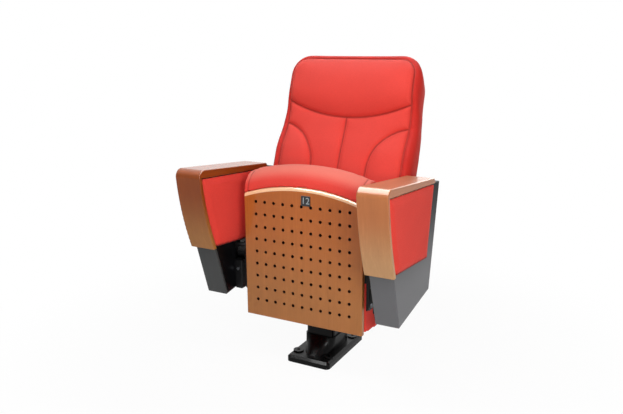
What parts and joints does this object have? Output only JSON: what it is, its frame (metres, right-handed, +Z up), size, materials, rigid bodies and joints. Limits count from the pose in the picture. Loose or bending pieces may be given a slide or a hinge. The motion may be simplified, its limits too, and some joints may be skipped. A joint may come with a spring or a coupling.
{
  "type": "auditorium seat",
  "caption": "Tip up auditorium seat on one pedestal: perforated plywood seat panel, padded back with headrest, bent wood armrests on padded steel side standards.",
  "frame": {"origin": "on the floor, in the middle of the four floor bolts", "axes": "+X to the right seen from in front, +Y to the rear (away from the sitter's knees), +Z up"},
  "size_m": [0.68, 0.6223, 0.9531],
  "materials": {
    "bent_wood": "lacquered bent wood",
    "black_cast": "gloss black enamel",
    "black_felt": "black acoustic felt",
    "black_plastic": "moulded black plastic",
    "black_steel": "satin black powder coat",
    "buffer_rubber": "moulded rubber",
    "coral_fabric": "woven upholstery cloth over foam",
    "grey_steel": "satin grey powder coat",
    "lacquered_wood": "orange brown lacquered plywood",
    "number_plastic": "dark plate with a plain light number",
    "plain_plywood": "bare plywood",
    "shaft_steel": "turned steel",
    "spring_steel": "oiled spring steel",
    "white_nylon": "natural nylon",
    "zinc_plate": "bright zinc plate"
  },
  "bodies": {
    "stand": {"armrest_left": "bent_wood", "armrest_right": "bent_wood", "armrest_screws_left": "zinc_plate", "armrest_screws_right": "zinc_plate", "back_bracket_bolts": "zinc_plate", "back_bracket_left": "black_steel", "back_bracket_right": "black_steel", "back_cushion": "coral_fabric", "back_inner_board": "plain_plywood", "back_rear_panel": "lacquered_wood", "back_screws": "zinc_plate", "beam_bolts": "zinc_plate", "beam_bracket_bolts": "zinc_plate", "beam_bracket_left": "black_steel", "beam_bracket_right": "black_steel", "beam_nuts": "zinc_plate", "crossbeam": "black_steel", "foot_casting": "black_cast", "hinge_angle_left": "zinc_plate", "hinge_angle_right": "zinc_plate", "hinge_bolts": "zinc_plate", "hinge_bushes_left": "white_nylon", "hinge_bushes_right": "white_nylon", "hinge_hub_left": "black_steel", "hinge_hub_right": "black_steel", "inner_cover_left": "black_plastic", "inner_cover_right": "black_plastic", "inner_side_board_left": "plain_plywood", "inner_side_board_right": "plain_plywood", "inner_side_pad_left": "coral_fabric", "inner_side_pad_right": "coral_fabric", "mechanism_box_left": "black_plastic", "mechanism_box_right": "black_plastic", "mechanism_box_screws": "zinc_plate", "outer_side_board_left": "plain_plywood", "outer_side_board_right": "plain_plywood", "outer_side_pad_left": "coral_fabric", "outer_side_pad_right": "coral_fabric", "pedestal_column": "black_steel", "return_spring_left": "spring_steel", "return_spring_right": "spring_steel", "side_standard_left": "grey_steel", "side_standard_right": "grey_steel", "stop_buffers_left": "buffer_rubber", "stop_buffers_right": "buffer_rubber"},
    "seat": {"acoustic_felt": "black_felt", "pivot_shaft_left": "shaft_steel", "pivot_shaft_right": "shaft_steel", "seat_cushion": "coral_fabric", "seat_frame": "black_steel", "seat_inner_board": "plain_plywood", "seat_number_plate": "number_plastic", "seat_screws": "zinc_plate", "seat_side_bolts": "zinc_plate", "seat_side_plate_left": "black_steel", "seat_side_plate_right": "black_steel", "seat_under_panel": "lacquered_wood", "shaft_clips": "spring_steel"}
  },
  "joints": [
    {"name": "seat_tip", "type": "hinge", "parent": "stand", "child": "seat", "pos_m": [0, -0.12, 0.345], "axis": [1, 0, 0], "range_deg": [0, 87], "stiffness_Nm_per_rad": 2.5, "springref_deg": -29.79, "deforming": ["return_spring_left", "return_spring_right"]}
  ]
}
